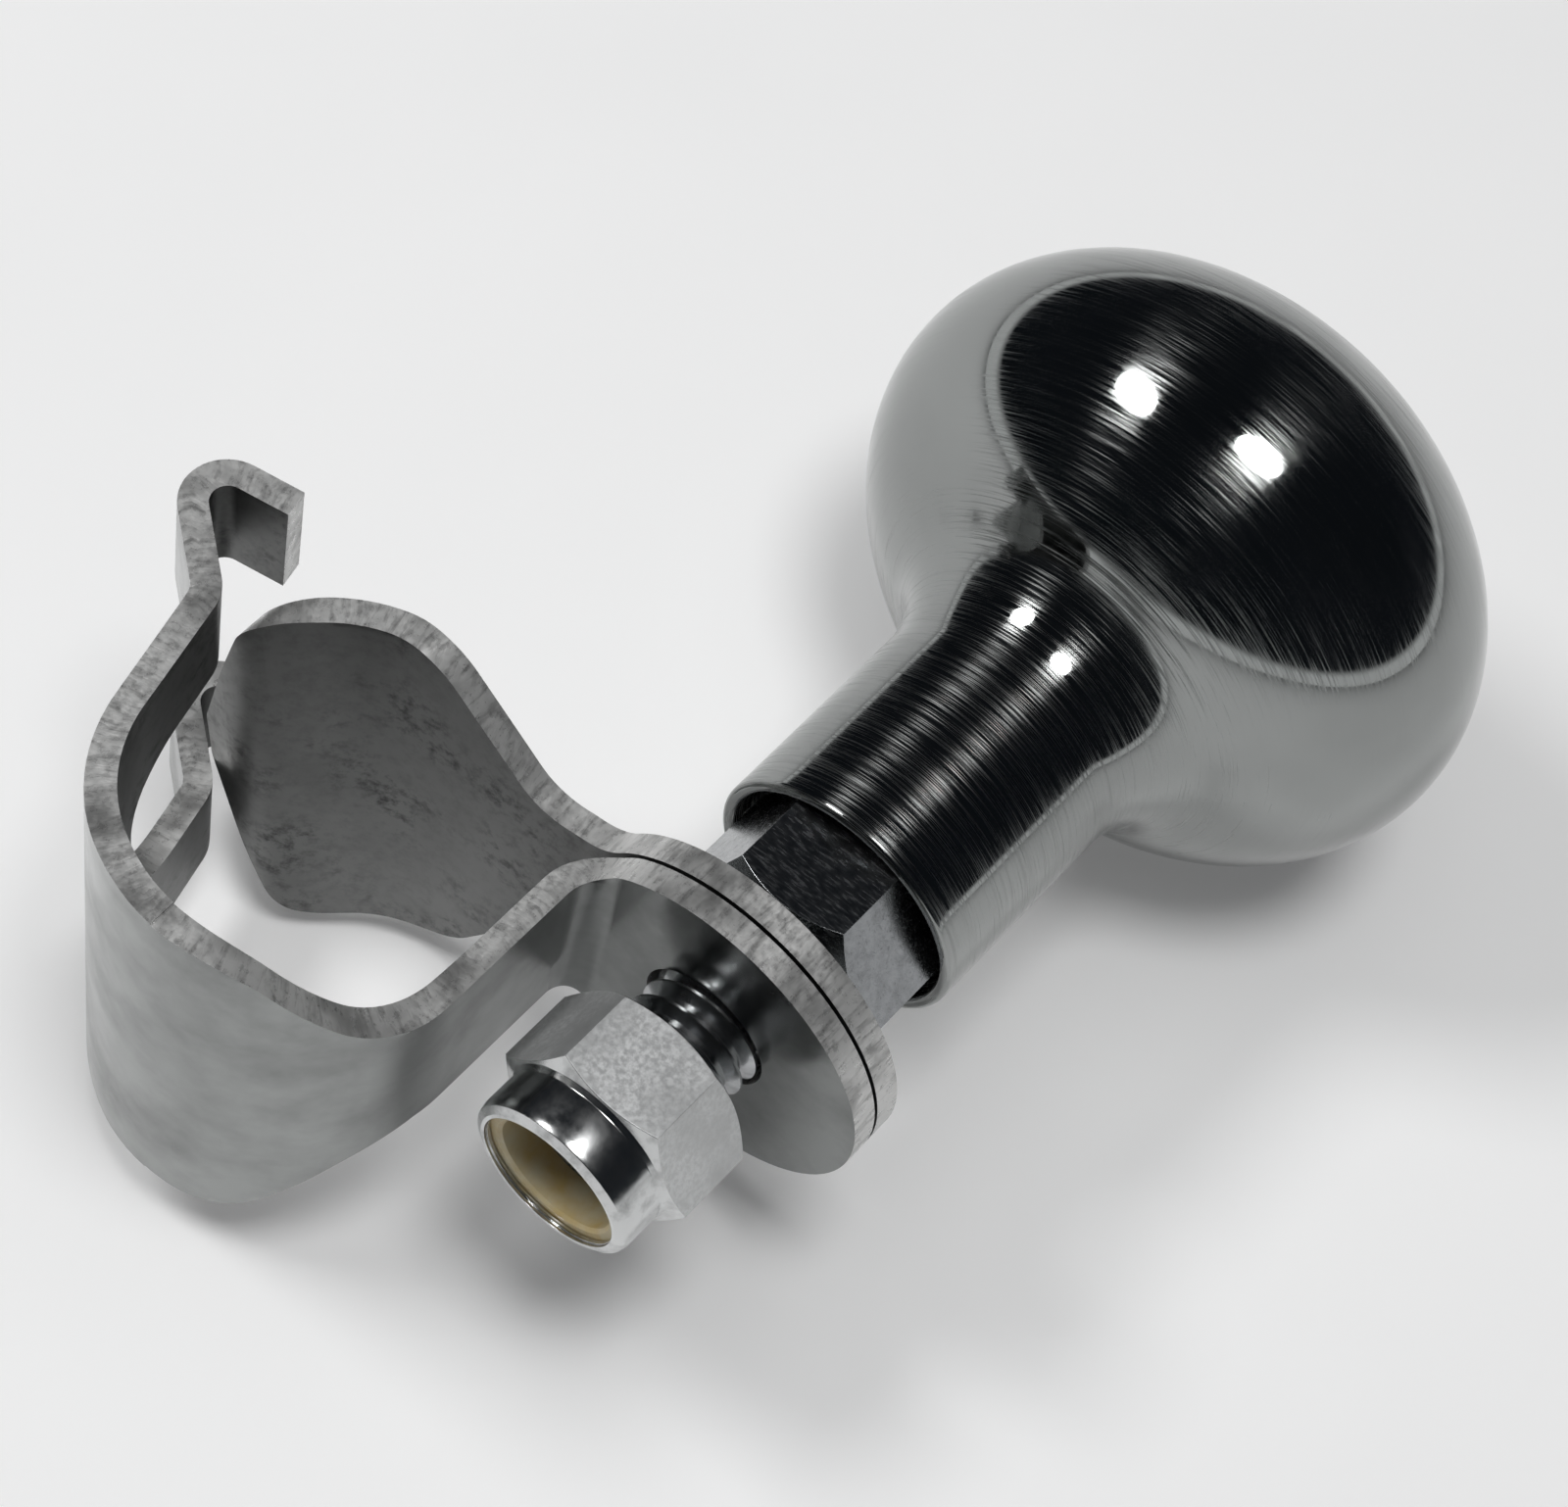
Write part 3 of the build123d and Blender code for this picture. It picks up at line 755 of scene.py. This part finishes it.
def build_stage(settings):
    """The pale table, the dark ceiling with its bright rim, three lights and the camera."""
    scene = bpy.context.scene
    scene.view_settings.view_transform = "Standard"
    bm = bmesh.new()
    bmesh.ops.create_grid(bm, x_segments=1, y_segments=1, size=TABLE_HALF)
    floor_z = CAD_BOX[0][2] - FLOOR_GAP
    bmesh.ops.translate(bm, verts=bm.verts, vec=(*TABLE_MIDDLE, floor_z))
    table = to_object(bm, "table", [stage_white("Pale table", tuple(settings.table),
                                                settings.glow)])

    world = bpy.data.worlds.new("Soft room")
    world.use_nodes = True
    scene.world = world
    tree = world.node_tree
    sky = tree.nodes["Background"]
    direction = tree.nodes.new("ShaderNodeTexCoord")
    split = tree.nodes.new("ShaderNodeSeparateXYZ")
    ramp = tree.nodes.new("ShaderNodeValToRGB")
    tree.links.new(direction.outputs["Generated"], split.inputs["Vector"])
    tree.links.new(split.outputs["Z"], ramp.inputs["Fac"])
    tree.links.new(ramp.outputs["Color"], sky.inputs["Color"])
    ramp.color_ramp.elements[0].position = 0.03
    ramp.color_ramp.elements[0].color = (0.80, 0.81, 0.81, 1)
    ramp.color_ramp.elements[1].position = 0.07
    ramp.color_ramp.elements[1].color = (0.010, 0.012, 0.015, 1)
    sky.inputs["Strength"].default_value = 1.0

    far_box = STAGE_MIDDLE + BOX_DISTANCE * FAR_BOX
    near_box = STAGE_MIDDLE + BOX_DISTANCE * NEAR_BOX
    add_area("Soft box far", far_box, STAGE_MIDDLE, (0.32, 0.22), settings.key)
    add_area("Soft box near", near_box, STAGE_MIDDLE, (0.28, 0.26), settings.key)
    fill = add_area("Fill", (0.0, 0.0, 1.1), (*TABLE_MIDDLE, 0), (0.9, 0.9), settings.fill)
    fill.visible_glossy = False

    camera_data = bpy.data.cameras.new("Camera")
    camera_data.sensor_fit = "HORIZONTAL"
    camera_data.sensor_width = 36
    camera_data.lens = settings.focal
    camera_data.clip_start = 0.01
    camera = bpy.data.objects.new("Camera", camera_data)
    right = CAMERA_RIGHT.normalized()
    back = CAMERA_BACK.normalized()
    up = back.cross(right).normalized()
    right = up.cross(back)
    turn = Matrix((right, up, back)).transposed().to_4x4()
    camera.matrix_world = Matrix.Translation(CAMERA_PLACE) @ turn
    scene.collection.objects.link(camera)
    scene.camera = camera


# ---------------------------------------------------------------- operators
class WHEELKNOB_OT_knob(bpy.types.Operator):
    """Build the hollow polished knob"""
    bl_idname = "wheelknob.knob"
    bl_label = "Knob"

    def execute(self, context):
        build_knob(context.scene.wheel_knob)
        return {"FINISHED"}


class WHEELKNOB_OT_straps(bpy.types.Operator):
    """Build the two rim straps"""
    bl_idname = "wheelknob.straps"
    bl_label = "Rim straps"

    def execute(self, context):
        settings = context.scene.wheel_straps
        finishes = [strap_outside_steel("Strap outside", tuple(settings.outside)),
                    # The inside finish carries painted shade in its dark base colour.
                    strap_inside_steel_with_shade("Strap inside, painted shade", tuple(settings.inside)),
                    strap_edge_steel("Strap cut edge", tuple(settings.cut))]
        build_strap("front_strap", "front_clamp", FRONT_START, FRONT_MOVES, 0.0, True,
                    settings, finishes)
        build_strap("rear_strap", "rear_clamp", REAR_START, REAR_MOVES, REAR_TILT, False,
                    settings, finishes)
        return {"FINISHED"}


class WHEELKNOB_OT_spindle(bpy.types.Operator):
    """Build the spindle with its hexagon and threaded stud"""
    bl_idname = "wheelknob.spindle"
    bl_label = "Spindle"

    def execute(self, context):
        build_spindle(context.scene.wheel_spindle)
        return {"FINISHED"}


class WHEELKNOB_OT_nut(bpy.types.Operator):
    """Build the lock nut and its nylon ring"""
    bl_idname = "wheelknob.nut"
    bl_label = "Lock nut"

    def execute(self, context):
        settings = context.scene.wheel_nut
        build_nut(settings)
        finish_node("nylon_ring", aged_nylon("Aged nylon", tuple(settings.nylon)))
        return {"FINISHED"}


class WHEELKNOB_OT_bearing(bpy.types.Operator):
    """Finish the bearing parts inside the knob's neck"""
    bl_idname = "wheelknob.bearing"
    bl_label = "Bearing parts"

    def execute(self, context):
        ground = turned_steel("Ground bearing steel", (0.42, 0.43, 0.44), 0.2)
        for node in ("thrust_washer", "bearing_housing", "retaining_washer", "circlip"):
            finish_node(node, ground)
        bronze = bearing_bronze("Sintered bronze", (0.50, 0.32, 0.13))
        for node in ("outer_bush", "inner_bush"):
            finish_node(node, bronze)
        return {"FINISHED"}


class WHEELKNOB_OT_stage(bpy.types.Operator):
    """Set the pale table, the soft lights and the camera"""
    bl_idname = "wheelknob.stage"
    bl_label = "Stage"

    def execute(self, context):
        build_stage(context.scene.wheel_stage)
        return {"FINISHED"}


OPERATORS = (WHEELKNOB_OT_knob, WHEELKNOB_OT_straps, WHEELKNOB_OT_spindle, WHEELKNOB_OT_nut,
             WHEELKNOB_OT_bearing, WHEELKNOB_OT_stage)
SETTINGS = {"wheel_knob": KnobSettings, "wheel_straps": StrapSettings,
            "wheel_spindle": SpindleSettings, "wheel_nut": NutSettings,
            "wheel_stage": StageSettings}


class WHEELKNOB_PT_panel(bpy.types.Panel):
    bl_label = "Wheel Knob"
    bl_idname = "WHEELKNOB_PT_panel"
    bl_space_type = "VIEW_3D"
    bl_region_type = "UI"
    bl_category = "Wheel Knob"

    def draw(self, context):
        for operator in OPERATORS:
            self.layout.operator(operator.bl_idname)


def register():
    for group in SETTINGS.values():
        bpy.utils.register_class(group)
    for name, group in SETTINGS.items():
        setattr(bpy.types.Scene, name, PointerProperty(type=group))
    for operator in OPERATORS:
        bpy.utils.register_class(operator)
    bpy.utils.register_class(WHEELKNOB_PT_panel)


def unregister():
    bpy.utils.unregister_class(WHEELKNOB_PT_panel)
    for operator in reversed(OPERATORS):
        bpy.utils.unregister_class(operator)
    for name, group in SETTINGS.items():
        delattr(bpy.types.Scene, name)
        bpy.utils.unregister_class(group)


def main():
    register()
    bpy.ops.wheelknob.knob()
    bpy.ops.wheelknob.straps()
    bpy.ops.wheelknob.spindle()
    bpy.ops.wheelknob.nut()
    bpy.ops.wheelknob.bearing()
    bpy.ops.wheelknob.stage()


if __name__ == "__main__":
    main()
